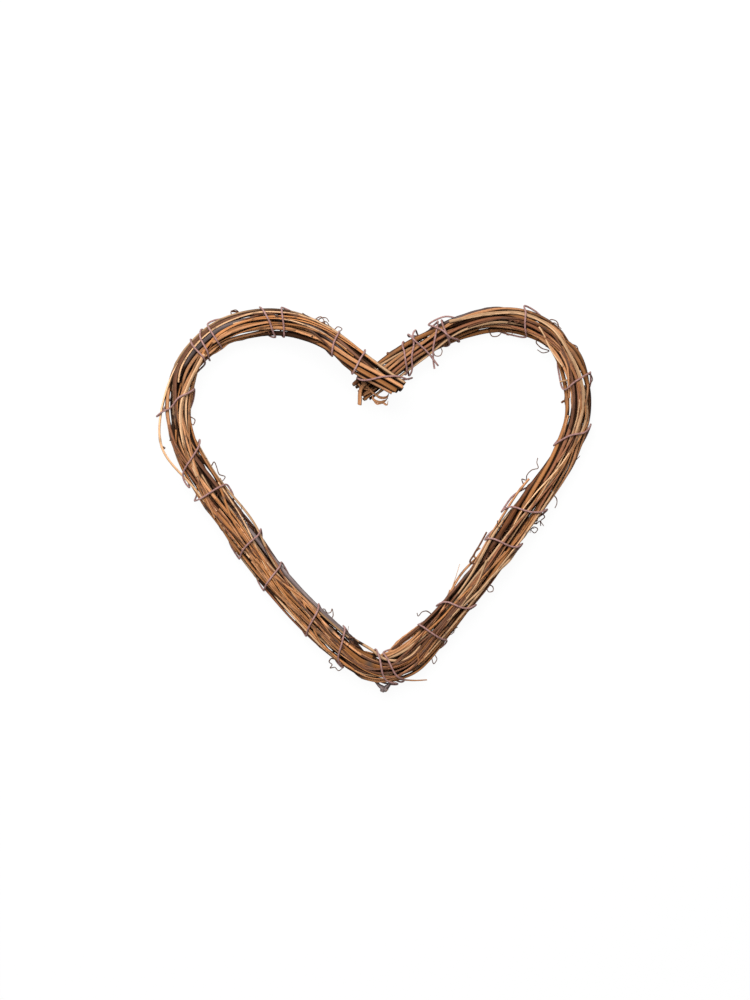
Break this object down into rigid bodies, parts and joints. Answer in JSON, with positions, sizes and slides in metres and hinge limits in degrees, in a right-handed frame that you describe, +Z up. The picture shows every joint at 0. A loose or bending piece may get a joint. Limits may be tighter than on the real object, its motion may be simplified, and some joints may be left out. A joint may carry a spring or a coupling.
{
  "type": "heart wreath",
  "caption": "Heart-shaped wreath of dry vines bent side by side into an open bundle, arms crossed in the cleft, bound round with paper-covered wire.",
  "frame": {"origin": "below the middle of the wreath's box, on the surface it lies on", "axes": "+X across the heart to its right lobe, +Y from the heart's point to its cleft, +Z up out of its front"},
  "size_m": [0.3, 0.2686, 0.0395],
  "materials": {
    "orange_vine": "dry smooth bark, orange brown, satin",
    "tan_vine": "dry smooth bark, tan, satin",
    "red_vine": "dry bark, red brown, satin",
    "straw_vine": "peeled dry vine, straw colour, matte",
    "dark_vine": "dry bark, dark brown, matte",
    "old_wood": "weathered flaky bark, grey purple, matte",
    "wire": "paper-covered binding wire, mauve brown, matte"
  },
  "bodies": {
    "root": {"vine_01": "orange_vine", "vine_02": "tan_vine", "vine_03": "red_vine", "vine_04": "straw_vine", "vine_05": "tan_vine", "vine_06": "orange_vine", "vine_07": "straw_vine", "vine_08": "dark_vine", "vine_09": "tan_vine", "vine_10": "orange_vine", "vine_11": "tan_vine", "vine_12": "red_vine", "vine_13": "straw_vine", "vine_14": "tan_vine", "vine_15": "orange_vine", "vine_16": "straw_vine", "vine_17": "dark_vine", "vine_18": "tan_vine", "vine_19": "orange_vine", "vine_20": "tan_vine", "vine_21": "red_vine", "vine_22": "straw_vine", "vine_23": "tan_vine", "old_stem": "old_wood", "outer_runner": "straw_vine", "inner_runner": "straw_vine", "point_runner": "orange_vine", "free_tip": "tan_vine", "bent_vine": "tan_vine", "binding_wire": "wire", "forked_stub": "old_wood"}
  },
  "joints": []
}
